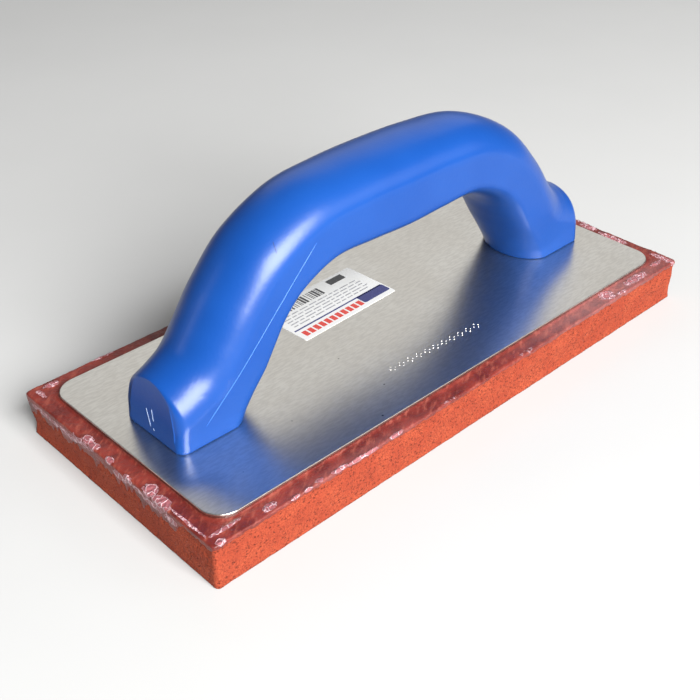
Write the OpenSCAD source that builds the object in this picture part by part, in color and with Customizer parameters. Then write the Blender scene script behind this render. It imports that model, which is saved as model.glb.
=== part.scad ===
// Coarse-cell rubber float for finishing mortar and concrete.
// A slab of sponge rubber is cemented under a sheet-metal backing plate, and a one-piece moulded
// bow handle is held on the plate by four countersunk screws driven up through it.
// Origin at the middle of the working face. +X runs along the float, +Y across it, +Z up.

/* [Rubber pad] */
// Length of the rubber pad
pad_length = 228.6; // [220:0.1:300]
// Width of the rubber pad
pad_width = 101.6; // [90:0.1:130]
// Thickness of the rubber pad
pad_thickness = 15.9; // [9:0.1:25]
// Radius of the pad's upright corners
pad_corner_r = 1.5; // [0.5:0.1:6]

/* [Contact cement] */
// Thickness of the cement film between pad and plate
cement_thickness = 0.4; // [0.2:0.05:1]

/* [Backing plate] */
// Width of the rubber border left round the plate
plate_border = 6.35; // [3:0.05:8]
// Thickness of the sheet metal
plate_thickness = 1.6; // [1.4:0.1:3]
// Radius of the plate's corners
plate_corner_r = 8; // [2:0.5:15]

/* [Handle] */
// Length over the two feet
handle_length = 196.8; // [180:0.2:204]
// Height of the grip's top above the plate
handle_height = 68.7; // [62:0.1:80]
// Width across the middle of the grip
grip_width = 33; // [29:0.1:38]

/* [Handle screws] */
// Outer diameter of the screw's thread
thread_d = 4.2; // [3.5:0.1:4.8]
// Length of a screw from its head's face to its tip
screw_length = 19; // [14:0.5:20]
// Distance from the middle of the float to the inner screw of each foot
inner_screw_x = 76; // [74:0.5:78]
// Distance between the two screws of a foot
screw_spacing = 13; // [11:0.5:14]

/* [Label] */
// Length of the paper label
label_length = 46.5; // [20:0.5:60]
// Width of the paper label
label_width = 25; // [10:0.5:30]
// Turn of the label on the plate, in degrees
label_turn = 2.5; // [-5:0.5:5]

/* [Hidden] */
$fn = 64;

// Heights of the layers, from the working face up
plate_bottom = pad_thickness + cement_thickness;
plate_top = plate_bottom + plate_thickness;

plate_length = pad_length - 2 * plate_border;
plate_width = pad_width - 2 * plate_border;

// Countersunk screws and the holes that take them
outer_screw_x = inner_screw_x + screw_spacing;
head_d = 2 * thread_d;
head_height = plate_thickness - 0.2;
core_d = 0.72 * thread_d;
thread_pitch = 1.6;
tip_length = 3.2;
hole_clearance = 0.2;
pilot_depth = screw_length - plate_thickness + 1;
recess_length = 0.52 * head_d;
recess_width = 0.9;
recess_depth = 1.3;

// Middle of the label on the plate, and its corners
label_pos = [-6, 20];
label_thickness = 0.15;
label_corner_r = 0.8;

// The handle is a chain of cross-sections that fans round from the flat sole of a foot to the
// middle of the grip, and is then mirrored. Each section is a line in the XZ plane, from a point on
// the outer outline to one on the inner outline, thickened across Y:
// [outer x, outer z, inner x, inner z, half width, depth of the back's dome, depth of the inner
//  rounding]
// with z from the plate, drawn for a handle of the length, height and width given next.
drawn_length = 196.8;
drawn_height = 68.7;
drawn_width = 33;
stretch_x = handle_length / drawn_length;
stretch_z = handle_height / drawn_height;
stretch_y = grip_width / drawn_width;

// The foot's sole, and the section at the foot of the end face's arch
SOLE = [98.4, 0.0, 67.6, 0.0, 15.0, 11.6, 9.5];
SPRING = [97.8, 8.5, 66.0, 3.3, 15.0, 11.6, 8.8];

// From the crown of the end face's arch, up the leg, to the middle of the grip
BOW = [
    [96.8, 20.6, 63.4,  8.1, 15.6, 11.6, 8.0],
    [92.5, 22.5, 61.5, 11.8, 15.8, 11.2, 7.0],
    [87.0, 25.7, 59.5, 15.5, 16.0, 10.6, 6.2],
    [81.5, 32.6, 56.1, 21.5, 16.0, 10.0, 5.8],
    [73.6, 43.2, 51.0, 28.9, 15.9,  9.8, 5.8],
    [60.4, 56.4, 43.7, 35.1, 15.8,  9.8, 5.8],
    [40.6, 65.9, 31.2, 40.0, 15.8,  9.8, 5.8],
    [20.0, 68.3, 16.0, 40.0, 16.1,  9.8, 5.8],
    [ 0.0, 68.7,  0.0, 39.6, 16.5,  9.8, 5.8]
];

// Rounding of the end faces' edges, at their upright corners and at their crown
corner_round = 3.4;
crown_round = 1;
// How far the outer outline is run on past the end faces
run_on = 30;
// Half width left where a rounded edge comes to its end
least_half = 0.05;

foot_steps = 3;
arch_steps = 7;
bow_steps = 4;
round_steps = 8;
// The rounded edges stop short of a quarter turn, which leaves a soft crease beside the flat sides
round_end = 80;

// Fraction t of the way from a to b, for numbers or lists
function mix(a, b, t) = a + (b - a) * t;

// A number held between 0 and 1
function share_of(x) = min(1, max(0, x));

// Smooth curve from b to c that passes through a, b, c and d in turn
function through(a, b, c, d, t) =
    0.5 * (2 * b + (c - a) * t + (2 * a - 5 * b + 4 * c - d) * t * t
        + (3 * b - a - 3 * c + d) * t * t * t);

// A section mirrored to the other end of the handle
function opposite(s) = [-s[0], s[1], -s[2], s[3], s[4], s[5], s[6]];

// Station k of the bow. It runs straight on before the first, and is mirrored past the middle.
function station(k) =
    k < 0 ? 2 * BOW[0] - BOW[1]
    : k < len(BOW) ? BOW[k]
    : opposite(BOW[2 * len(BOW) - 2 - k]);

// Sections of one half of the handle, from the sole to the middle of the grip
HALF = concat(
    [for (k = [0 : foot_steps - 1]) mix(SOLE, SPRING, k / foot_steps)],
    [for (k = [0 : arch_steps - 1]) mix(SPRING, BOW[0], sin(90 * k / arch_steps))],
    [
        for (k = [0 : len(BOW) - 2], j = [0 : bow_steps - 1])
            through(station(k - 1), station(k), station(k + 1), station(k + 2), j / bow_steps)
    ]
);
SECTIONS = concat(
    HALF,
    [BOW[len(BOW) - 1]],
    [for (k = [len(HALF) - 1 : -1 : 0]) opposite(HALF[k])]
);

// Outer outline from crown to crown, run straight on past both end faces
crown = foot_steps + arch_steps;
BACK = [for (k = [crown : len(SECTIONS) - 1 - crown]) [SECTIONS[k][0], SECTIONS[k][1]]];
back_start = BACK[0] + run_on * (BACK[0] - BACK[1]) / norm(BACK[0] - BACK[1]);
OUTLINE = concat([back_start], BACK, [[-back_start[0], back_start[1]]]);

// Distance from point p to the straight line between a and b, and to the whole outer outline
function to_line(p, a, b) =
    let (run = b - a)
    norm(p - a - share_of((p - a) * run / (run * run)) * run);
function below_outline(p) =
    min([for (k = [0 : len(OUTLINE) - 2]) to_line(p, OUTLINE[k], OUTLINE[k + 1])]);

// Share of the full half width, at fraction t of the way in over a rounded edge
function rounding(t) =
    let (rise = 1 - share_of(t) * (1 - cos(round_end)))
    sqrt(1 - rise * rise) / sin(round_end);

// What the rounding of the end faces' edges takes from the half width at point p
function corner_loss(p) =
    let (
        height = share_of(p[1] / BOW[0][1]),
        behind = mix(SOLE[0], BOW[0][0], height) - abs(p[0]),
        radius = mix(corner_round, crown_round, share_of(2 * height - 1)),
        short = radius - min(radius, max(0, behind))
    )
    radius - sqrt(radius * radius - short * short);

// Closed ring of points round one section. The handle's back is a dome whose depth is measured
// square to the outer outline, and the end faces cut it off.
function ring(s) =
    let (
        outer = [s[0], s[1]],
        inner = [s[2], s[3]],
        span = norm(inner - outer),
        bend = [for (k = [0 : round_steps]) (1 - cos(round_end * k / round_steps)) / (1 - cos(round_end))],
        inwards = concat(
            s[5] * bend,
            [mix(s[5], span - s[6], 0.5)],
            [for (k = [round_steps : -1 : 0]) span - s[6] * bend[k]]
        ),
        side = [
            for (d = inwards)
                let (
                    p = mix(outer, inner, d / span),
                    full = s[4] * min(rounding(below_outline(p) / s[5]), rounding((span - d) / s[6]))
                )
                [p[0], max(full - corner_loss(p), least_half), p[1]]
        ]
    )
    concat(side, [for (k = [len(side) - 1 : -1 : 0]) [side[k][0], -side[k][1], side[k][2]]]);

// Rectangle of the given length and width with round corners, centred on the origin
module rounded_rectangle(length, width, r) {
    square([length - 2 * r, width], center = true);
    square([length, width - 2 * r], center = true);
    for (x = [-1, 1], y = [-1, 1])
        translate([x * (length / 2 - r), y * (width / 2 - r)])
            circle(r);
}

// Puts its children at the four screws
module at_screws() {
    for (side = [-1, 1], x = [inner_screw_x, outer_screw_x])
        translate([side * x, 0, 0])
            children();
}

module rubber_pad() {
    color([0.80, 0.33, 0.24])
        linear_extrude(pad_thickness)
            rounded_rectangle(pad_length, pad_width, pad_corner_r);
}

module cement_film() {
    color([0.50, 0.20, 0.19])
        translate([0, 0, pad_thickness])
            linear_extrude(cement_thickness)
                rounded_rectangle(pad_length, pad_width, pad_corner_r);
}

module backing_plate() {
    color([0.75, 0.74, 0.72])
        difference() {
            translate([0, 0, plate_bottom])
                linear_extrude(plate_thickness)
                    rounded_rectangle(plate_length, plate_width, plate_corner_r);
            at_screws() {
                translate([0, 0, plate_bottom - 1])
                    cylinder(h = plate_thickness + 2, d = thread_d + hole_clearance);
                translate([0, 0, plate_bottom])
                    cylinder(
                        h = head_height,
                        d1 = head_d + hole_clearance,
                        d2 = thread_d + hole_clearance
                    );
            }
        }
}

// One-piece moulding: the swept bow with its two feet, and a blind pilot hole for each screw
module handle() {
    rings = [for (s = SECTIONS) ring(s)];
    n = len(rings[0]);
    last = len(rings) - 1;
    color([0.12, 0.40, 0.88])
        difference() {
            translate([0, 0, plate_top])
                scale([stretch_x, stretch_y, stretch_z])
                    polyhedron(
                        points = [for (r = rings) each r],
                        faces = concat(
                            [[for (k = [0 : n - 1]) k]],
                            [
                                for (r = [0 : last - 1], k = [0 : n - 1])
                                    let (a = r * n + k, b = r * n + (k + 1) % n)
                                    each [[a, a + n, b + n], [a, b + n, b]]
                            ],
                            [[for (k = [n - 1 : -1 : 0]) last * n + k]]
                        )
                    );
            at_screws()
                translate([0, 0, plate_top - 1])
                    cylinder(h = pilot_depth + 1, d = thread_d + hole_clearance);
        }
}

// Countersunk self-tapping screw, head down, with a cross recess and ridges for its thread
module plate_screw(x) {
    core_r = core_d / 2;
    ridges = floor((screw_length - tip_length - head_height) / thread_pitch);
    color([0.62, 0.63, 0.65])
        translate([x, 0, plate_bottom])
            difference() {
                rotate_extrude()
                    polygon(concat(
                        [[0, 0], [head_d / 2, 0], [core_r, head_height]],
                        [
                            for (k = [0 : ridges - 1])
                                let (z = head_height + (k + 0.2) * thread_pitch)
                                each [
                                    [core_r, z],
                                    [thread_d / 2, z + 0.35 * thread_pitch],
                                    [core_r, z + 0.7 * thread_pitch]
                                ]
                        ],
                        [[core_r, screw_length - tip_length], [0, screw_length]]
                    ));
                for (turn = [0, 90])
                    rotate([0, 0, turn])
                        cube([recess_length, recess_width, 2 * recess_depth], center = true);
            }
}

module label() {
    color([0.95, 0.95, 0.92])
        translate([label_pos[0], label_pos[1], plate_top])
            rotate([0, 0, label_turn])
                linear_extrude(label_thickness)
                    rounded_rectangle(label_length, label_width, label_corner_r);
}

rubber_pad();
cement_film();
backing_plate();
handle();
plate_screw(-outer_screw_x);  // screw_front_outer
plate_screw(-inner_screw_x);  // screw_front_inner
plate_screw(inner_screw_x);  // screw_rear_inner
plate_screw(outer_screw_x);  // screw_rear_outer
label();
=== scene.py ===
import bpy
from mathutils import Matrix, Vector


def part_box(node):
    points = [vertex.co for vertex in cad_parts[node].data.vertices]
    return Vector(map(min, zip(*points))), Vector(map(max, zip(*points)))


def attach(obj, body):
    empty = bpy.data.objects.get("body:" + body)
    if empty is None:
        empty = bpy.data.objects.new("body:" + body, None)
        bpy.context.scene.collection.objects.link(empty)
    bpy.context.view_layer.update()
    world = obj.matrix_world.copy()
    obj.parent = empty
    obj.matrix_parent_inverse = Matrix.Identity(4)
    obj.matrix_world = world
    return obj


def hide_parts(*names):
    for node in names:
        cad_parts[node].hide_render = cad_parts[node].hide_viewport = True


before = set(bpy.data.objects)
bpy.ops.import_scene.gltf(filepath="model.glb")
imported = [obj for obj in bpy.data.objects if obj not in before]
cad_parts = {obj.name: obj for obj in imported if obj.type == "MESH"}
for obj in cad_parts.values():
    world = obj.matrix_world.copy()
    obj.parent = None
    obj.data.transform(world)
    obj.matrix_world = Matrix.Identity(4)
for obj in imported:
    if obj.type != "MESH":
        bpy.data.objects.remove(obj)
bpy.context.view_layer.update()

import math
import random

import bpy
import numpy as np
from mathutils import Quaternion, Vector, noise
from mathutils.bvhtree import BVHTree

# Meshes are worked out in millimetres and stored in metres.
MM = 0.001


# ---------------------------------------------------------------- measures from the frame


def box_mm(node):
    """Lowest and highest corner of a CAD node, in millimetres."""
    low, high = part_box(node)
    return np.array(low) / MM, np.array(high) / MM


PAD_LOW, PAD_HIGH = box_mm("rubber_pad")
_, CEMENT_HIGH = box_mm("cement_film")
PLATE_LOW, PLATE_HIGH = box_mm("backing_plate")
HANDLE_LOW, HANDLE_HIGH = box_mm("handle")
LABEL_LOW, LABEL_HIGH = box_mm("label")

PAD_HALF = PAD_HIGH[:2]
PLATE_HALF = PLATE_HIGH[:2]
PAD_CORNER = 1.5
PLATE_CORNER = 8.0
SCREWS = ["screw_front_outer", "screw_front_inner", "screw_rear_inner", "screw_rear_outer"]


# ---------------------------------------------------------------- shader helpers


class Recipe:
    """A material with one Principled shader, and short calls for the nodes that feed it."""

    def __init__(self, name, **uniform):
        self.material = bpy.data.materials.new(name)
        self.material.use_nodes = True
        self.tree = self.material.node_tree
        self.shader = self.tree.nodes["Principled BSDF"]
        for socket, value in uniform.items():
            self.shader.inputs[socket.replace("_", " ")].default_value = value
        self.place = self.add("ShaderNodeTexCoord").outputs["Object"]

    def add(self, kind, inputs=None, **settings):
        """A new node, with its settings and its inputs, which are values or other nodes' outputs."""
        node = self.tree.nodes.new(kind)
        for setting, value in settings.items():
            setattr(node, setting, value)
        for socket, value in (inputs or {}).items():
            if isinstance(value, bpy.types.NodeSocket):
                self.tree.links.new(value, node.inputs[socket])
            else:
                node.inputs[socket].default_value = value
        return node

    def drive(self, socket, output):
        """Feeds one of the shader's own sockets."""
        self.tree.links.new(output, self.shader.inputs[socket])

    def stretched(self, factors, turn=0.0):
        """The place on the object, for features drawn out along axes turned about Z."""
        inputs = {"Vector": self.place, "Scale": factors, "Rotation": (0, 0, turn)}
        return self.add("ShaderNodeMapping", inputs, vector_type="TEXTURE").outputs["Vector"]

    def noise(self, size, detail=3.0, roughness=0.5, place=None):
        """Noise with features of the given size in millimetres."""
        inputs = {
            "Vector": place or self.place,
            "Scale": 1 / (size * MM),
            "Detail": detail,
            "Roughness": roughness,
        }
        return self.add("ShaderNodeTexNoise", inputs).outputs["Fac"]

    def cells(self, size, place=None):
        """Distance from the middle of random cells of the given size in millimetres."""
        inputs = {"Vector": place or self.place, "Scale": 1 / (size * MM)}
        return self.add("ShaderNodeTexVoronoi", inputs).outputs["Distance"]

    def creases(self, size, shift):
        """Distance from the edges of random cells of the given size, pushed out of true by noise."""
        inputs = {"Vector": self.place, "Scale": 1 / (size * MM)}
        push = self.add("ShaderNodeTexNoise", inputs).outputs["Color"]
        inputs = {0: push, 1: (shift * MM,) * 3, 2: self.place}
        moved = self.add("ShaderNodeVectorMath", inputs, operation="MULTIPLY_ADD").outputs[0]
        inputs = {"Vector": moved, "Scale": 1 / (size * MM)}
        cells = self.add("ShaderNodeTexVoronoi", inputs, feature="DISTANCE_TO_EDGE")
        return cells.outputs["Distance"]

    def step(self, value, low, high, start=0.0, end=1.0):
        """A smooth step from start to end as the value goes from low to high."""
        inputs = {"Value": value, "From Min": low, "From Max": high, "To Min": start, "To Max": end}
        node = self.add("ShaderNodeMapRange", inputs, interpolation_type="SMOOTHSTEP")
        return node.outputs["Result"]

    def math(self, operation, a, b):
        return self.add("ShaderNodeMath", {0: a, 1: b}, operation=operation).outputs[0]

    def mix(self, share, a, b):
        """Colour a, turning to colour b as the share goes from 0 to 1."""
        node = self.add("ShaderNodeMix", {0: share, 6: a, 7: b}, data_type="RGBA")
        return node.outputs[2]

    def attribute(self, name):
        return self.add("ShaderNodeAttribute", attribute_name=name).outputs["Fac"]

    def bump(self, height, depth, strength=1.0, after=None):
        """A bump of the given depth in millimetres, on top of an earlier bump."""
        inputs = {"Height": height, "Distance": depth * MM, "Strength": strength}
        if after:
            inputs["Normal"] = after
        return self.add("ShaderNodeBump", inputs).outputs["Normal"]


def srgb(red, green, blue):
    """A colour given as sRGB from 0 to 255, in Blender's linear values."""

    def linear(level):
        share = level / 255
        return share / 12.92 if share <= 0.04045 else ((share + 0.055) / 1.055) ** 2.4

    return linear(red), linear(green), linear(blue), 1.0


# ---------------------------------------------------------------- materials

# Slant of the cement's streaks from the float's length
STREAK_TURN = math.radians(35)


def rubber_material():
    """Coarse sponge rubber: cut cells in two sizes, with painted shade inside them, over mottled orange
    red.
    """
    r = Recipe("sponge_rubber", Roughness=0.85, Specular_IOR_Level=0.25)
    coarse = r.cells(1.3)
    fine = r.cells(0.6)
    grain = r.noise(0.5, detail=4, roughness=0.65)
    patches = r.noise(8, detail=3)
    base = r.mix(r.step(patches, 0.35, 0.68), srgb(144, 58, 35), srgb(156, 69, 42))
    speckled = r.mix(r.step(grain, 0.4, 0.62), base, srgb(130, 49, 29))
    # Painted shade: the middles of the cells, where the pits are, are darkened.
    pit_shade = r.mix(r.step(coarse, 0.08, 0.3, 0.45, 0.0), speckled, srgb(88, 32, 20))
    pore_shade = r.mix(r.step(fine, 0.1, 0.3, 0.4, 0.0), pit_shade, srgb(96, 36, 22))
    r.drive("Base Color", pore_shade)
    cells = r.bump(r.step(coarse, 0.05, 0.4), 0.35)
    pores_bump = r.bump(r.step(fine, 0.05, 0.35), 0.2, after=cells)
    r.drive("Normal", r.bump(grain, 0.3, after=pores_bump))
    return r.material


def cement_material():
    """Dried contact cement: glossy maroon film, with mauve patches and pale creases where torn, a pale
    painted sheen on the near side and painted shade along the plate's edge.
    """
    r = Recipe("contact_cement", Coat_Weight=0.06, Coat_Roughness=0.2, Specular_IOR_Level=0.3)
    slanting = r.stretched((3.5, 1, 1), STREAK_TURN)
    streaks = r.noise(1.3, detail=4, roughness=0.6, place=slanting)
    blotches = r.noise(7, detail=3)
    ragged = r.math("MULTIPLY", r.noise(2.0, detail=5, roughness=0.7), 1.5)
    spread = r.math("ADD", r.attribute("fleck"), ragged)
    loose = r.step(spread, 1.12, 1.22)
    rim = r.math("SUBTRACT", loose, r.step(spread, 1.2, 1.34))
    folds = r.math("MULTIPLY", r.step(r.creases(2.8, 2.5), 0.02, 0.09, 1.0, 0.0), loose)
    pale = r.math("MAXIMUM", r.math("MULTIPLY", folds, 0.85), r.math("MULTIPLY", rim, 0.5))
    # Painted reflection: a pale mauve sheen over the near side's film.
    painted_sheen = r.step(r.attribute("painted_sheen"), 0.0, 1.0, 0.0, 0.28)
    base = r.mix(r.step(blotches, 0.35, 0.65), srgb(88, 28, 24), srgb(114, 42, 34))
    streaked = r.mix(r.step(streaks, 0.48, 0.7, 0.0, 0.6), base, srgb(142, 72, 58))
    sheened = r.mix(painted_sheen, streaked, srgb(168, 130, 130))
    milky = r.mix(r.math("MULTIPLY", loose, 0.7), sheened, srgb(150, 92, 98))
    torn = r.mix(pale, milky, srgb(196, 164, 170))
    # Painted shade: the film turns near black in the gap along the plate's edge, most on the front (-X)
    # side.
    r.drive("Base Color", r.mix(r.attribute("plate_edge_shade"), torn, srgb(46, 18, 15)))
    r.drive("Roughness", r.step(streaks, 0.3, 0.7, 0.3, 0.5))
    wrinkles = r.bump(r.noise(1.1, detail=4, roughness=0.6), 0.3)
    r.drive("Normal", r.bump(pale, 0.25, after=wrinkles))
    return r.material


def plate_material():
    """Satin rolled sheet: faint grain along the float, a few dark specks and soft smudges."""
    r = Recipe("plate_metal", Metallic=1.0, Roughness=0.28)
    grain = r.noise(0.9, detail=3, roughness=0.6, place=r.stretched((4, 1, 1)))
    smudges = r.noise(22, detail=3)
    speck_spots = r.step(r.cells(9), 0.025, 0.055, 1.0, 0.0)
    specks = r.math("MULTIPLY", speck_spots, r.step(r.noise(14, detail=1), 0.45, 0.6))
    base = r.mix(r.step(smudges, 0.35, 0.7), srgb(217, 213, 205), srgb(223, 220, 213))
    grained = r.mix(r.step(grain, 0.35, 0.65, 0.0, 0.5), base, srgb(194, 190, 182))
    r.drive("Base Color", r.mix(specks, grained, srgb(96, 92, 88)))
    r.drive("Normal", r.bump(grain, 0.006))
    return r.material


def handle_material():
    """Semi-gloss blue moulding with a faint orange-peel skin and a little dust."""
    r = Recipe("handle_plastic", Roughness=0.31, Specular_IOR_Level=0.36)
    clouds = r.noise(26, detail=2)
    orange_peel = r.noise(1.3, detail=2)
    fine = r.noise(0.25, detail=2)
    base = r.mix(r.step(clouds, 0.3, 0.7), srgb(12, 60, 130), srgb(16, 64, 135))
    dust = r.step(r.cells(26), 0.005, 0.011, 0.5, 0.0)
    r.drive("Base Color", r.mix(dust, base, srgb(190, 204, 230)))
    r.drive("Normal", r.bump(fine, 0.01, after=r.bump(orange_peel, 0.03)))
    return r.material


def screw_material():
    """Zinc-plated steel with a turned grain."""
    r = Recipe("screw_steel", Metallic=1.0)
    grain = r.noise(0.4, detail=3, place=r.stretched((1, 1, 0.17)))
    r.drive("Base Color", r.mix(grain, srgb(168, 170, 176), srgb(206, 208, 214)))
    r.drive("Roughness", r.step(grain, 0.3, 0.7, 0.28, 0.42))
    r.drive("Normal", r.bump(grain, 0.02))
    return r.material


def paper_material():
    """Coated label stock with faint fibres."""
    r = Recipe("label_paper", Coat_Weight=0.3, Coat_Roughness=0.3)
    fibres = r.noise(0.6, detail=4, place=r.stretched((1, 0.33, 1)))
    r.drive("Base Color", r.mix(fibres, srgb(180, 180, 178), srgb(192, 192, 190)))
    r.drive("Roughness", r.step(fibres, 0.3, 0.7, 0.42, 0.55))
    r.drive("Normal", r.bump(fibres, 0.02))
    return r.material


def ink_material(name, ink, worn):
    """Printing ink, thinner in places so that it looks a little worn. The handle's witness line and
    raised end-face marks use it too, with paler colours that are painted highlights.
    """
    r = Recipe(name, Coat_Weight=0.3, Coat_Roughness=0.3)
    wear = r.noise(0.7, detail=4, roughness=0.7)
    r.drive("Base Color", r.mix(r.step(wear, 0.52, 0.75), ink, worn))
    r.drive("Roughness", r.step(wear, 0.3, 0.7, 0.4, 0.55))
    return r.material


# ---------------------------------------------------------------- mesh helpers


def piece(name, points, faces, material, smooth=True):
    """A new mesh object from points in millimetres, riding on the float's one body."""
    mesh = bpy.data.meshes.new(name)
    mesh.from_pydata((np.asarray(points) * MM).tolist(), [], faces)
    mesh.materials.append(material)
    mesh.polygons.foreach_set("use_smooth", [smooth] * len(mesh.polygons))
    mesh.update()
    obj = bpy.data.objects.new(name, mesh)
    bpy.context.scene.collection.objects.link(obj)
    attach(obj, "root")
    return obj


def store(obj, name, values):
    """Keeps one number per vertex for the material."""
    attribute = obj.data.attributes.new(name, "FLOAT", "POINT")
    attribute.data.foreach_set("value", np.asarray(values, np.float32))


def wander(points, size, seed=0):
    """Smooth noise from about -0.7 to 0.7 with features of the given size, at points in millimetres."""
    shift = Vector((seed * 37.1, seed * 11.7, seed * 5.3))
    return np.array([noise.noise(Vector(p) / size + shift) for p in points])


def smooth_step(value, low, high):
    share = np.clip((value - low) / (high - low), 0, 1)
    return share * share * (3 - 2 * share)


def skin(rings, around, outward_down=False):
    """Faces between successive closed rings, each with the same number of points around."""
    faces = []
    for ring in range(rings - 1):
        for k in range(around):
            a = ring * around + k
            b = ring * around + (k + 1) % around
            face = (a, b, b + around, a + around)
            faces.append(face[::-1] if outward_down else face)
    return faces


def solid_of(rings, outward_down=False):
    """Points and faces of a closed solid through a list of rings, with a flat cap on each end."""
    around = len(rings[0])
    last = (len(rings) - 1) * around
    first_cap = list(range(around))
    last_cap = list(range(last, last + around))
    faces = skin(len(rings), around, outward_down)
    faces += [first_cap, last_cap[::-1]] if outward_down else [first_cap[::-1], last_cap]
    return np.vstack(rings), faces


def outline(half, radius, long_steps=1, short_steps=1, corner_steps=24):
    """Points round a rectangle with round corners, anticlockwise, and the outward directions there."""
    corners = [(1, 1), (-1, 1), (-1, -1), (1, -1)]
    centres = [np.array(sign) * (np.asarray(half) - radius) for sign in corners]
    steps = [long_steps, short_steps, long_steps, short_steps]
    points, outward = [], []
    for quarter in range(4):
        angles = (quarter + np.linspace(0, 1, corner_steps)) * math.pi / 2
        directions = np.column_stack([np.cos(angles), np.sin(angles)])
        shares = np.linspace(0, 1, steps[quarter] + 1)[1:-1, None]
        arc = centres[quarter] + radius * directions
        arc_end = arc[-1]
        next_start = centres[(quarter + 1) % 4] + radius * directions[-1]
        points += [arc, arc_end + shares * (next_start - arc_end)]
        outward += [directions, np.repeat(directions[-1:], len(shares), axis=0)]
    return np.vstack(points), np.vstack(outward)


def at_height(flat, z):
    """Points in a plane, given a height."""
    return np.column_stack([flat, np.broadcast_to(z, len(flat))])


# ---------------------------------------------------------------- sponge rubber slab

PAD_CELL = 0.6
PAD_INSET = 0.35
PAD_EDGE_ROUND = 0.2


def undercut(points):
    """How far the hand-cut sides stand in from the slab's top edge. They are straightest at the
    (-X, -Y) corner, a little hollow at the (+X, -Y) one and more so at the others."""
    depth = np.clip((PAD_HIGH[2] - points[:, 2]) / (PAD_HIGH[2] - PAD_LOW[2]), 0, 1)
    share_x, share_y = points[:, 0] / PAD_HALF[0], points[:, 1] / PAD_HALF[1]
    hollow = smooth_step(share_x + share_y, -2, 0) * (1 - 0.45 * smooth_step(share_x - share_y, 0, 2))
    lapped = PAD_INSET * (1 - smooth_step(PAD_HIGH[2] - points[:, 2], 3, 7))
    return lapped + hollow * (0.9 * np.sin(math.pi * depth**2) + 0.5 * depth**2)


def cut_in(points, inset):
    """Moves points near the slab's sides inwards."""
    moved = points.copy()
    for axis in (0, 1):
        side = points[:, axis] / PAD_HALF[axis]
        moved[:, axis] -= np.sign(side) * np.abs(side) ** 16 * inset
    return moved


def open_cells(points, size, radius, depth, seed):
    """Depth of round pits, one to a random cell of the given size."""
    shift = Vector((seed, seed, seed))
    nearest = np.array([noise.voronoi(Vector(p) / size + shift)[0][0] for p in points])
    return depth * np.clip(1 - (nearest * size / radius) ** 2, 0, 1)


def rubber_slab(material):
    columns, rows, layers = [int(round(extent / PAD_CELL)) for extent in PAD_HIGH - PAD_LOW]
    grid = np.meshgrid(np.linspace(-1, 1, columns + 1), np.linspace(-1, 1, rows + 1), indexing="ij")
    flat = np.column_stack([grid[0].ravel(), grid[1].ravel()]) * PAD_HALF

    # A square lattice, drawn in to the round corners
    core = np.clip(flat, PAD_CORNER - PAD_HALF, PAD_HALF - PAD_CORNER)
    beyond = flat - core
    length = np.linalg.norm(beyond, axis=1, keepdims=True)
    reach = np.abs(beyond).max(axis=1, keepdims=True)
    direction = beyond / np.maximum(length, 1e-9)
    flat = core + direction * reach

    number = np.arange(len(flat)).reshape(columns + 1, rows + 1)
    rim = np.concatenate([number[:-1, 0], number[-1, :-1], number[:0:-1, -1], number[0, :0:-1]])
    bottom = at_height(flat, PAD_LOW[2])
    heights = np.linspace(PAD_LOW[2], PAD_HIGH[2], layers + 1)[1:]
    walls = [at_height(flat[rim], z) for z in heights]
    points = np.vstack([bottom, *walls])

    inward = np.zeros_like(points)
    inward[: len(bottom), 2] = 1
    inward[rim, :2] = -direction[rim]
    inward[len(bottom):, :2] = np.tile(-direction[rim], (layers, 1))

    faces = []
    for i in range(columns):
        for j in range(rows):
            faces.append((number[i, j], number[i, j + 1], number[i + 1, j + 1], number[i + 1, j]))
    rings = [list(rim)]
    for layer in range(layers):
        start = len(bottom) + layer * len(rim)
        rings.append(list(range(start, start + len(rim))))
    for lower, upper in zip(rings, rings[1:]):
        for k in range(len(rim)):
            after = (k + 1) % len(rim)
            faces.append((lower[k], lower[after], upper[after], upper[k]))
    faces.append(rings[-1])

    pits = open_cells(points, 2.4, 0.8, 0.35, seed=3) + open_cells(points, 1.5, 0.5, 0.25, seed=8)
    pits *= 0.35 + 0.65 * smooth_step(wander(points, 5, seed=4), -0.3, 0.3)
    ragged = 0.1 * (1 + wander(points, 1.6, seed=6))
    pits[rim] = 0
    ragged[rim] = 0
    worn_edge = np.zeros(len(points))
    worn_edge[rim] = PAD_EDGE_ROUND * (1 + 0.4 * wander(points[rim], 3, seed=5))
    below_top = smooth_step(PAD_HIGH[2] - points[:, 2], 0, 1.5)
    moved = cut_in(points, undercut(points))
    moved += inward * ((pits + ragged) * below_top + worn_edge)[:, None]
    slab = piece("sponge_rubber_slab", moved, [tuple(map(int, face)) for face in faces], material)
    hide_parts("rubber_pad")
    return slab


# ---------------------------------------------------------------- contact cement film

FILM_BORDER_ROWS = 18
FILM_LAP_ROWS = 13
FILM_RAISED = 0.12
FILM_BEAD = 0.6
BEAD_WIDTH = 0.8
SHOULDER_WIDTH = 1.0
SHOULDER_DROP = 0.25
FILM_DEPTH = 0.25
LEAST_LAP = 0.3
UNDER_PLATE = 1.5
PLATE_EDGE_SHADE_WIDTH = 0.55
FILM_STEPS = {"long_steps": 520, "short_steps": 228, "corner_steps": 12}

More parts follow.
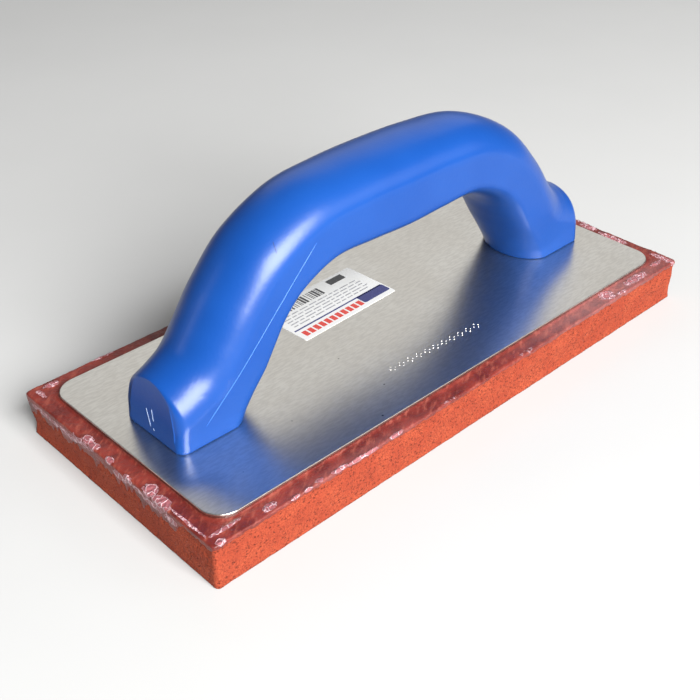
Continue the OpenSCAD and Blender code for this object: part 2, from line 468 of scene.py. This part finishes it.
# Milky wrinkled patches: [place along the side, distance in from the pad's edge, or below it if
# less than 0, half length, half width, strength]. The front side is at -X, the near side at -Y.
FRONT_PATCHES = [
    [40, -2.6, 9, 1.2, 0.8],
    [27, -2.8, 9, 1.5, 1.0],
    [17, -1.4, 6, 1.5, 0.8],
    [14.5, 1.6, 2.6, 1.6, 1.2],
    [10.5, 1.2, 2.4, 1.5, 1.2],
    [1.5, 0.9, 1.8, 1.3, 1.3],
    [-4.5, -2.2, 3.6, 1.4, 1.5],
    [-9, -1.0, 2.2, 1.4, 1.4],
    [-14, -1.6, 3.2, 1.0, 0.9],
    [-18.5, 1.8, 3.0, 2.4, 1.2],
    [-21, -2.6, 5.0, 1.3, 0.9],
    [-25, 0.6, 4.2, 2.6, 1.2],
    [-30, -2.6, 3.2, 1.6, 1.1],
    [-37, 1.3, 9, 0.6, 1.0],
    [46, 3.5, 3, 1.2, 0.7]
]
NEAR_PATCHES = [
    [-107, 4.4, 6.0, 0.7, 1.4],
    [-111, 1.0, 1.6, 1.2, 1.1],
    [-92, 2.4, 2.6, 1.4, 1.3],
    [-84, 0.3, 1.6, 0.6, 1.3],
    [-79, 0.2, 1.8, 0.6, 1.5],
    [-74, 0.9, 1.6, 0.8, 1.0],
    [-66, 0.6, 3.2, 0.8, 1.2],
    [-59, -0.2, 4.5, 0.7, 1.4],
    [-53, -0.4, 3.2, 0.7, 1.5],
    [-42, 0.2, 3.0, 0.9, 1.0],
    [-17, 0.6, 5.0, 0.8, 0.45],
    [24, 1.0, 9.0, 1.4, 0.4],
    [73, 3.4, 3.2, 2.6, 1.3],
    [79, 1.2, 3.0, 1.0, 0.8],
    [91, 3.2, 7.0, 2.0, 1.0],
    [106, 4.4, 3.2, 1.2, 1.0]
]
# Where a pale painted sheen lies over the film on the near side, standing in for glancing reflection
NEAR_PAINTED_SHEEN = [[70, 3.2, 48, 5, 0.8], [-60, 1, 40, 3, 0.4]]


def random_patches(rng, count, half_side):
    """Patches for a side, spread at random."""
    return [
        [
            rng.uniform(-half_side, half_side),
            rng.uniform(-3.5, 3.0),
            rng.uniform(2, 7),
            rng.uniform(0.6, 1.8),
            rng.uniform(0.8, 1.3)
        ]
        for _ in range(count)
    ]


def patch_strength(points, patches, side_axis, side_sign):
    """Strength at each point of the patches on one side of the float."""
    along_axis = 1 - side_axis
    edge = side_sign * PAD_HALF[side_axis]
    strength = np.zeros(len(points))
    for along, inside, half_length, half_width, full in patches:
        centre = np.zeros(3)
        centre[along_axis] = along
        centre[side_axis] = edge - side_sign * max(inside, 0)
        centre[2] = CEMENT_HIGH[2] + min(inside, 0)
        reach = np.full(3, half_width)
        reach[along_axis] = half_length
        distance = np.linalg.norm((points - centre) / reach, axis=1)
        strength = np.maximum(strength, full * np.clip(1.35 - distance, 0, 1))
    return strength


def film_lap(outward, flat):
    """How far the film laps down the pad's side: most on the front side, least on the near one."""
    front = np.clip(-outward[:, 0], 0, 1) ** 2 * (1.4 + 3.0 * smooth_step(flat[:, 1], -37, -31))
    near = np.clip(-outward[:, 1], 0, 1) ** 2 * 0.9
    others = np.clip(outward, 0, 1).max(axis=1) ** 2 * 2.2
    place = at_height(flat, 0)
    ragged = 1 + 0.5 * wander(place, 5, seed=21) + 0.7 * wander(place, 1.4, seed=22)
    return np.maximum(LEAST_LAP, (front + near + others) * ragged)


def cement_film(material):
    pad_line, outward = outline(PAD_HALF, PAD_CORNER, **FILM_STEPS)
    plate_line, _ = outline(PLATE_HALF, PLATE_CORNER, **FILM_STEPS)
    under_line, _ = outline(PLATE_HALF - UNDER_PLATE, PLATE_CORNER - UNDER_PLATE, **FILM_STEPS)
    top = CEMENT_HIGH[2]
    pad_top = PAD_HIGH[2]
    border = np.linalg.norm(pad_line - plate_line, axis=1)
    lap = film_lap(outward, pad_line)

    # From under the plate, out over the pad's border, and down its side
    rows = [at_height(under_line, top), at_height(plate_line, top)]
    border_shares = np.linspace(0.004, 0.97, FILM_BORDER_ROWS)
    for share in border_shares:
        bead = FILM_BEAD * np.exp(-(share * border / BEAD_WIDTH) ** 2)
        shoulder = SHOULDER_DROP * smooth_step(share * border, border - SHOULDER_WIDTH, border)
        line = plate_line + share * (pad_line - plate_line)
        rows.append(at_height(line, top + FILM_RAISED + bead - shoulder))
    for share in np.linspace(0, 1, FILM_LAP_ROWS):
        lowered = at_height(pad_line, pad_top - 0.1 - share * lap)
        rows.append(cut_in(lowered, undercut(lowered) - 0.2 * (1 - share**2) - 0.03))
    visible = len(rows)

    # Back up inside the pad, to close the film
    for share in (1, 0):
        lowered = at_height(pad_line, pad_top - FILM_DEPTH - share * lap)
        rows.append(cut_in(lowered, undercut(lowered) + 0.8))
    rows.append(at_height(under_line, pad_top - FILM_DEPTH))

    around = len(pad_line)
    row_shares = np.ones(len(rows))
    row_shares[:2 + FILM_BORDER_ROWS] = np.concatenate([[0, 0], border_shares])
    points, faces = solid_of(rows, outward_down=True)
    rng = random.Random(11)
    fleck = np.maximum.reduce([
        patch_strength(points, FRONT_PATCHES, 0, -1),
        patch_strength(points, NEAR_PATCHES, 1, -1),
        patch_strength(points, random_patches(rng, 14, PAD_HALF[1]), 0, 1),
        patch_strength(points, random_patches(rng, 26, PAD_HALF[0]), 1, 1)
    ])
    fleck = np.clip(fleck + 0.45 * fleck * wander(points, 1.3, seed=31), 0, 1)
    painted_sheen = np.clip(patch_strength(points, NEAR_PAINTED_SHEEN, 1, -1), 0, 1)
    # Painted shade along the plate's edge, strongest where the film faces the front (-X).
    from_plate = np.repeat(row_shares, around) * np.tile(border, len(rows))
    faces_front = np.tile(np.clip(-outward[:, 0], 0, 1), len(rows))
    plate_edge_shade = (0.15 + 0.65 * faces_front) * np.exp(-((from_plate / PLATE_EDGE_SHADE_WIDTH) ** 2))

    # Soft waves everywhere, and sharp wrinkles where the film is milky
    waves = 0.16 * wander(points, 4.5, seed=32) + 0.1 * wander(points, 1.8, seed=33)
    skewed = points @ np.array([[1, 0.6, 0], [-0.6, 1, 0], [0, 0, 1]])
    ridges = 1 - np.abs(wander(skewed, 1.5, seed=34)) * 3
    height = waves + fleck * (0.12 + 0.4 * np.clip(ridges, 0, 1))
    row_number = np.repeat(np.arange(len(rows)), around)
    on_border = (row_number > 2) & (row_number < 2 + FILM_BORDER_ROWS)
    on_lap = (row_number >= 2 + FILM_BORDER_ROWS) & (row_number < visible)
    points[on_border, 2] += np.maximum(height[on_border], -0.1)
    sideways = np.tile(outward, (len(rows), 1))
    points[on_lap, :2] += sideways[on_lap] * np.clip(0.5 * height[on_lap], -0.03, 0.3)[:, None]
    points[:, :2] = np.clip(points[:, :2], -PAD_HALF, PAD_HALF)

    film = piece("contact_cement_film", points, faces, material)
    store(film, "fleck", fleck)
    store(film, "painted_sheen", painted_sheen)
    store(film, "plate_edge_shade", plate_edge_shade)
    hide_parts("cement_film")
    return film


# ---------------------------------------------------------------- backing plate

PLATE_BEVEL = 0.25
BEVEL_STEPS = 4
MARK_COUNT = 11
MARK_START = (-19.0, -26.2)
MARK_END = (20.8, -28.4)
MARK_REACH = 1.1
DENT_RADIUS = 0.27
DENT_DEPTH = 0.19


def turned(profile, centre, sides):
    """Rings of a solid turned about an upright line, from [radius, height] pairs."""
    angles = np.arange(sides) * 2 * math.pi / sides
    circle = np.column_stack([np.cos(angles), np.sin(angles)])
    return [at_height(np.asarray(centre) + radius * circle, z) for radius, z in profile]


def joined(solids):
    """Points and faces of several solids as one mesh."""
    points, faces, start = [], [], 0
    for solid_points, solid_faces in solids:
        points.append(solid_points)
        faces += [[start + k for k in face] for face in solid_faces]
        start += len(solid_points)
    return np.vstack(points), faces


def plate_cutters():
    """Solids to cut away: the countersunk screw holes, and a row of diamonds of four dents each."""
    solids = []
    for screw in SCREWS:
        low, high = box_mm(screw)
        centre = (low + high)[:2] / 2
        head = (high - low)[0] / 2 + 0.1
        shank = head / 2 + 0.05
        top_of_head = PLATE_HIGH[2] - 0.2
        profile = [
            (head, PLATE_LOW[2] - 1),
            (head, PLATE_LOW[2]),
            (shank, top_of_head),
            (shank, PLATE_HIGH[2] + 1)
        ]
        solids.append(solid_of(turned(profile, centre, 48)))
    profile = [(0.02, PLATE_HIGH[2] - DENT_DEPTH), (DENT_RADIUS, PLATE_HIGH[2] + 0.02)]
    start, end = np.array(MARK_START), np.array(MARK_END)
    for share in np.linspace(0, 1, MARK_COUNT):
        centre = start + share * (end - start)
        for offset in ((MARK_REACH, 0), (0, MARK_REACH), (-MARK_REACH, 0), (0, -MARK_REACH)):
            solids.append(solid_of(turned(profile, centre + offset, 4)))
    return joined(solids)


def backing_plate(material):
    rings = []
    for quarter in np.linspace(0, math.pi / 2, BEVEL_STEPS):
        inset = PLATE_BEVEL * (1 - math.sin(quarter))
        line, _ = outline(PLATE_HALF - inset, PLATE_CORNER - inset)
        rings.append(at_height(line, PLATE_LOW[2] + PLATE_BEVEL * (1 - math.cos(quarter))))
    flipped = [ring * (1, 1, -1) + (0, 0, PLATE_LOW[2] + PLATE_HIGH[2]) for ring in rings[::-1]]
    points, faces = solid_of(rings + flipped)
    plate = piece("sheet_metal_plate", points, faces, material)
    smooth = [True] * (len(faces) - 2) + [False, False]
    plate.data.polygons.foreach_set("use_smooth", smooth)

    cutter = piece("plate_cutter", *plate_cutters(), material, smooth=False)
    holes = plate.modifiers.new("holes", "BOOLEAN")
    holes.object = cutter
    holes.operation = "DIFFERENCE"
    holes.solver = "EXACT"
    finished = plate.evaluated_get(bpy.context.evaluated_depsgraph_get())
    mesh = bpy.data.meshes.new_from_object(finished)
    plate.modifiers.clear()
    plate.data = mesh
    bpy.data.objects.remove(cutter)
    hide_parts("backing_plate")
    return plate


# ---------------------------------------------------------------- handle

# Cross-sections of half the handle, as in the CAD: [outer x, outer z, inner x, inner z, half width,
# depth of the back's dome, depth of the inner rounding], with z from the plate, for a handle of
# the drawn size
DRAWN = np.array([196.8, 33.0, 68.7])
SOLE = [98.4, 0.0, 67.6, 0.0, 15.0, 11.6, 9.5]
SPRING = [97.8, 8.5, 66.0, 3.3, 15.0, 11.6, 8.8]
BOW = [
    [96.8, 20.6, 63.4, 8.1, 15.6, 11.6, 8.0],
    [92.5, 22.5, 61.5, 11.8, 15.8, 11.2, 7.0],
    [87.0, 25.7, 59.5, 15.5, 16.0, 10.6, 6.2],
    [81.5, 32.6, 56.1, 21.5, 16.0, 10.0, 5.8],
    [73.6, 43.2, 51.0, 28.9, 15.9, 9.8, 5.8],
    [60.4, 56.4, 43.7, 35.1, 15.8, 9.8, 5.8],
    [40.6, 65.9, 31.2, 40.0, 15.8, 9.8, 5.8],
    [20.0, 68.3, 16.0, 40.0, 16.1, 9.8, 5.8],
    [0.0, 68.7, 0.0, 39.6, 16.5, 9.8, 5.8]
]
OPPOSITE = np.array([-1, 1, -1, 1, 1, 1, 1])
FOOT_STEPS = 14
ARCH_STEPS = 30
BOW_STEPS = 16
ROUND_STEPS = 22
FLAT_STEPS = 6
END_STEPS = [0.0, 0.5, 0.85, 0.97]
ROUND_END = math.radians(80)
RUN_ON = 30.0
CORNER_ROUND = 3.4
CROWN_ROUND = 1.0
LEAST_HALF = 0.05
SOLE_ROUND = 0.4

# Marks on the handle, as [x, y, z]
WITNESS = [(-88.2, -15.2, 25.0), (-42.3, -15.8, 70.7)]
# Raised marks on the front end face; their pale colour is a painted highlight.
END_FACE_MARKS = [
    [(-97.8, 2.6, 27.4), (-98.3, 0.6, 21.6)],
    [(-97.7, -0.2, 28.3), (-98.2, -1.0, 24.3)],
    [(-98.2, -0.6, 21.4), (-98.2, -1.3, 20.9)]
]
SCRATCH = [(-55.1, -10.5, 74.0), (-55.8, -13.0, 71.2)]
LINE_STEPS = 60
RAY_START = 20.0


def mix(a, b, share):
    return a + (b - a) * share


def station(k):
    """Station k of the bow. It runs straight on before the first, and is mirrored past the middle."""
    if k < 0:
        return 2 * np.array(BOW[0]) - BOW[1]
    if k < len(BOW):
        return np.array(BOW[k])
    return BOW[2 * len(BOW) - 2 - k] * OPPOSITE


def through(a, b, c, d, t):
    """Smooth curve from b to c that passes through a, b, c and d in turn."""
    curve = 2 * b + (c - a) * t + (2 * a - 5 * b + 4 * c - d) * t**2
    return 0.5 * (curve + (3 * b - a - 3 * c + d) * t**3)


def handle_sections():
    """Sections from the front foot's sole, up its end face and over the bow, to the rear foot."""
    sole, spring, crown = np.array(SOLE), np.array(SPRING), np.array(BOW[0])
    half = [mix(sole, spring, k / FOOT_STEPS) for k in range(FOOT_STEPS)]
    half += [mix(spring, crown, math.sin(k / ARCH_STEPS * math.pi / 2)) for k in range(ARCH_STEPS)]
    for k in range(len(BOW) - 1):
        near = [station(k + step) for step in (-1, 0, 1, 2)]
        half += [through(*near, j / BOW_STEPS) for j in range(BOW_STEPS)]
    return half + [np.array(BOW[-1])] + [section * OPPOSITE for section in half[::-1]]


def outer_outline(sections):
    """The handle's outer outline from crown to crown, run straight on past both end faces."""
    first = FOOT_STEPS + ARCH_STEPS
    line = np.array([section[:2] for section in sections[first: len(sections) - first]])
    start = line[0] + RUN_ON * (line[0] - line[1]) / np.linalg.norm(line[0] - line[1])
    end = start * (-1, 1)
    return np.vstack([start, line, end])


def distance_to(points, line):
    """Distance from each point to a broken line."""
    start, step = line[:-1], np.diff(line, axis=0)
    offset = points[:, None] - start
    share = np.clip((offset * step).sum(axis=2) / (step**2).sum(axis=1), 0, 1)
    return np.linalg.norm(offset - share[..., None] * step, axis=2).min(axis=1)


def rounding(share):
    """Share of the full half width, at a share of the way in over a rounded edge."""
    rise = 1 - np.clip(share, 0, 1) * (1 - math.cos(ROUND_END))
    return np.sqrt(1 - rise**2) / math.sin(ROUND_END)


def corner_loss(points):
    """What the rounding of the end faces' edges takes from the half width."""
    height = np.clip(points[:, 1] / BOW[0][1], 0, 1)
    behind = mix(SOLE[0], BOW[0][0], height) - np.abs(points[:, 0])
    radius = mix(CORNER_ROUND, CROWN_ROUND, smooth_step(height, 0.45, 1))
    short = radius - np.clip(behind, 0, radius)
    return radius - np.sqrt(radius**2 - short**2)


def section_ring(section, outline_points):
    """Closed ring of points round one section. The handle's back is a dome whose depth is measured
    square to the outer outline, and the end faces cut it off."""
    outer, inner, half_width, dome_depth, inner_depth = np.split(section, [2, 4, 5, 6])
    span = np.linalg.norm(inner - outer)
    bend = 1 - np.cos(np.linspace(0, ROUND_END, ROUND_STEPS + 1))
    bend /= bend[-1]
    flat = np.linspace(dome_depth, span - inner_depth, FLAT_STEPS + 2)[1:-1, 0]
    inwards = np.concatenate([dome_depth * bend, flat, span - inner_depth * bend[::-1]])
    line = outer + (inner - outer) * (inwards / span)[:, None]
    dome = rounding(distance_to(line, outline_points) / dome_depth)
    under = rounding((span - inwards) / inner_depth)
    half = np.maximum(half_width * np.minimum(dome, under) - corner_loss(line), LEAST_HALF)
    side = np.column_stack([line[:, 0], half, line[:, 1]])
    face = [side[0] * (1, share, 1) for share in END_STEPS]
    return np.vstack([face, side, side[::-1] * (1, -1, 1), np.array(face[:0:-1]) * (1, -1, 1)])


def handle_shape():
    """Points and faces of the handle, with the edge of its soles eased."""
    sections = handle_sections()
    line = outer_outline(sections)
    rings = np.array([section_ring(section, line) for section in sections])
    for sole in (0, -1):
        centre = rings[sole].mean(axis=0)
        away = rings[sole] - centre
        length = np.linalg.norm(away, axis=1, keepdims=True)
        rings[sole] = centre + away * (length - SOLE_ROUND) / length
    rings *= (HANDLE_HIGH - HANDLE_LOW) / DRAWN
    rings[:, :, 2] += HANDLE_LOW[2]
    return solid_of(list(rings))


def handle(points, faces, material):
    moulding = piece("bow_handle", points, faces, material)
    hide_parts("handle")
    return moulding


def raised_line(surface, start, end, towards, width, height):
    """A slim tapered ridge that follows the handle's surface between two points near it."""
    start, end, towards = np.array(start), np.array(end), np.array(towards)
    across = np.cross(end - start, towards)
    across /= np.linalg.norm(across)
    rings = []
    for share in np.linspace(0, 1, LINE_STEPS):
        origin = mix(start, end, share) - RAY_START * towards
        hit, *_ = surface.ray_cast(Vector(origin), Vector(towards))
        half = width / 2 * min(1, 12 * share + 0.2, 12 * (1 - share) + 0.2)
        section = [(-1, 0.2), (-0.4, -height), (0.4, -height), (1, 0.2)]
        corners = [across * side * half + towards * depth for side, depth in section]
        rings.append(np.array(hit) + np.array(corners))
    return solid_of(rings)


def handle_marks(points, faces):
    """The mould's witness line and raised marks on the front end face, both with a painted highlight in
    their paler colour, and a dark scratch.
    """
    surface = BVHTree.FromPolygons(points.tolist(), faces)
    # Painted highlight: the witness line is much paler than the moulding, standing in for light caught
    # on its ridge.
    edge = ink_material("witness_line_painted_highlight", srgb(52, 112, 196), srgb(26, 82, 160))
    # Painted highlight: pale colour on the raised end-face marks, standing in for light caught on them.
    pale = ink_material("end_face_mark_painted_highlight", srgb(150, 168, 200), srgb(60, 96, 156))
    dark = ink_material("scratched_plastic", srgb(10, 28, 70), srgb(12, 40, 96))
    line = raised_line(surface, *WITNESS, (0, 1, 0), 0.3, 0.07)
    end_face_marks = [raised_line(surface, *end_face_mark, (1, 0, 0), 0.45, 0.1) for end_face_mark in END_FACE_MARKS]
    scratch = raised_line(surface, *SCRATCH, (0.42, 0.63, -0.65), 0.35, 0.06)
    marks = [
        piece("handle_witness_line", *line, edge),
        piece("handle_end_face_marks", *joined(end_face_marks), pale),
        piece("handle_scratch", *scratch, dark)
    ]


# ---------------------------------------------------------------- label

LABEL_SIZE = np.array([46.5, 25.0])
LABEL_TURN = math.radians(2.5)
LABEL_CORNER = 0.8
INK_HEIGHT = 0.03


def on_label(flat):
    """Points in the label's own plane, from its middle, put in their place on the plate."""
    turn = np.array([
        [math.cos(LABEL_TURN), math.sin(LABEL_TURN)],
        [-math.sin(LABEL_TURN), math.cos(LABEL_TURN)]
    ])
    return np.asarray(flat) @ turn + (LABEL_LOW + LABEL_HIGH)[:2] / 2


def sticker(material):
    levels = [(0, 0.0), (0.1, 0.0), (0.15, 0.06)]
    rings = []
    for height, inset in levels:
        line, _ = outline(LABEL_SIZE / 2 - inset, LABEL_CORNER - inset, corner_steps=8)
        rings.append(at_height(on_label(line), LABEL_LOW[2] + height))
    paper = piece("paper_label", *solid_of(rings), material, smooth=False)
    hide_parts("label")
    return paper


def printed(name, shapes, material):
    """Flat printed shapes, each a polygon in the label's own plane."""
    solids = []
    for shape in shapes:
        flat = on_label(shape)
        low = at_height(flat, LABEL_HIGH[2] - 0.01)
        high = at_height(flat, LABEL_HIGH[2] + INK_HEIGHT)
        solids.append(solid_of([low, high]))
    ink = piece(name, *joined(solids), material, smooth=False)
    return ink


def bar(x, y, width, height):
    """Rectangle from its lower left corner."""
    return [(x, y), (x + width, y), (x + width, y + height), (x, y + height)]


def label_print():
    """Generic print: a navy stripe and tab, red blocks, black bars and grey rules, and no letters."""
    half = LABEL_SIZE / 2
    navy = ink_material("ink_navy", srgb(30, 34, 86), srgb(66, 72, 116))
    red = ink_material("ink_red", srgb(168, 42, 32), srgb(186, 104, 94))
    black = ink_material("ink_black", srgb(34, 34, 36), srgb(96, 96, 98))
    grey = ink_material("ink_grey", srgb(120, 120, 124), srgb(190, 190, 192))

    stripe = bar(-half[0] + 1, -half[1] + 6.6, LABEL_SIZE[0] - 2, 0.7)
    tab, _ = outline((6.8, 2.4), 0.8, corner_steps=6)
    tab = tab + (half[0] - 7.4, -half[1] + 4.6)
    printed("label_print_navy", [stripe, tab], navy)

    blocks = [bar(-half[0] + 2.2 + 2.75 * k, -half[1] + 1.9, 2.0, 3.2) for k in range(11)]
    printed("label_print_red", blocks, red)

    rng = random.Random(5)
    bars, x = [], -half[0] + 9.5
    while x < -half[0] + 27:
        width = rng.choice((0.35, 0.35, 0.7, 1.0))
        bars.append(bar(x, half[1] - 7.2, width, 5.0))
        x += width + rng.choice((0.4, 0.6, 0.9))
    bars.append(bar(half[0] - 14, half[1] - 4.8, 8.0, 3.4))
    printed("label_print_black", bars, black)

    rules = []
    for row in range(5):
        x, y = -half[0] + 3, -half[1] + 9.0 + 1.7 * row
        while x < half[0] - 5:
            width = min(rng.uniform(1.5, 5.0), half[0] - 3 - x)
            rules.append(bar(x, y, width, 0.55))
            x += width + 0.8
    printed("label_print_grey", rules, grey)


# ---------------------------------------------------------------- stage, lights and camera

AIM = Vector((-0.0200, -0.0063, 0.0162))
AZIMUTH = math.radians(-43.27)
ELEVATION = math.radians(34.27)
ROLL = math.radians(-0.6)
CAMERA_DISTANCE = 0.386
LENS = 57.19
WORLD_BRIGHTNESS = 0.12
FLOOR_REACH = 6.0
FLOOR_DROP = 0.0001


def place(obj, direction, distance, roll=0.0):
    """Puts a light or camera out from the aim point, looking back at it."""
    away = Vector(direction).normalized()
    obj.location = AIM + away * distance
    obj.rotation_mode = "QUATERNION"
    obj.rotation_quaternion = away.to_track_quat("Z", "Y") @ Quaternion((0, 0, 1), roll)
    bpy.context.scene.collection.objects.link(obj)


def soft_panel(name, direction, distance, size, brightness):
    """A white rectangular lamp whose surface has the given brightness."""
    lamp = bpy.data.lights.new(name, "AREA")
    lamp.shape = "RECTANGLE"
    lamp.size, lamp.size_y = size
    lamp.energy = brightness * math.pi * size[0] * size[1]
    place(bpy.data.objects.new(name, lamp), direction, distance)


def floor():
    r = Recipe("floor_paper", Roughness=0.9, Specular_IOR_Level=0.1)
    tone = r.noise(60, detail=2)
    r.drive("Base Color", r.mix(tone, srgb(178, 178, 177), srgb(181, 181, 180)))
    mesh = bpy.data.meshes.new("floor")
    corners = [(-1, -1), (1, -1), (1, 1), (-1, 1)]
    points = [(x * FLOOR_REACH, y * FLOOR_REACH, -FLOOR_DROP) for x, y in corners]
    mesh.from_pydata(points, [], [(0, 1, 2, 3)])
    mesh.materials.append(r.material)
    sheet = bpy.data.objects.new("floor", mesh)
    bpy.context.scene.collection.objects.link(sheet)


def surroundings():
    """Plain pale air all round, and soft lamps."""
    world = bpy.data.worlds.new("pale_room")
    world.use_nodes = True
    background = world.node_tree.nodes["Background"]
    background.inputs["Color"].default_value = (1, 1, 1, 1)
    background.inputs["Strength"].default_value = WORLD_BRIGHTNESS
    bpy.context.scene.world = world
    soft_panel("key_panel", (-0.17, -0.8, 0.56), 1.5, (0.95, 0.9), 29)
    soft_panel("back_panel", (0.57, 0.6, 0.5), 1.6, (1.6, 1.0), 0.75)
    soft_panel("side_panel", (0.6, -0.68, 0.45), 1.6, (0.9, 0.7), 1.6)
    soft_panel("rim_panel", (-0.7, 0.62, 0.35), 1.4, (0.16, 0.4), 3)


def camera():
    data = bpy.data.cameras.new("camera")
    data.sensor_width = 36
    data.lens = LENS
    data.clip_start = 0.01
    shot = bpy.data.objects.new("camera", data)
    level = math.cos(ELEVATION)
    back = (math.sin(AZIMUTH) * level, -math.cos(AZIMUTH) * level, math.sin(ELEVATION))
    place(shot, back, CAMERA_DISTANCE, ROLL)
    bpy.context.scene.camera = shot


# ---------------------------------------------------------------- the whole float

blue_plastic = handle_material()
rubber_slab(rubber_material())
cement_film(cement_material())
backing_plate(plate_material())
handle_points, handle_faces = handle_shape()
handle(handle_points, handle_faces, blue_plastic)
handle_marks(handle_points, handle_faces)
sticker(paper_material())
label_print()

steel = screw_material()
for screw in SCREWS:
    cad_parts[screw].material_slots[0].material = steel

floor()
surroundings()
camera()
bpy.context.scene.view_settings.view_transform = "Standard"
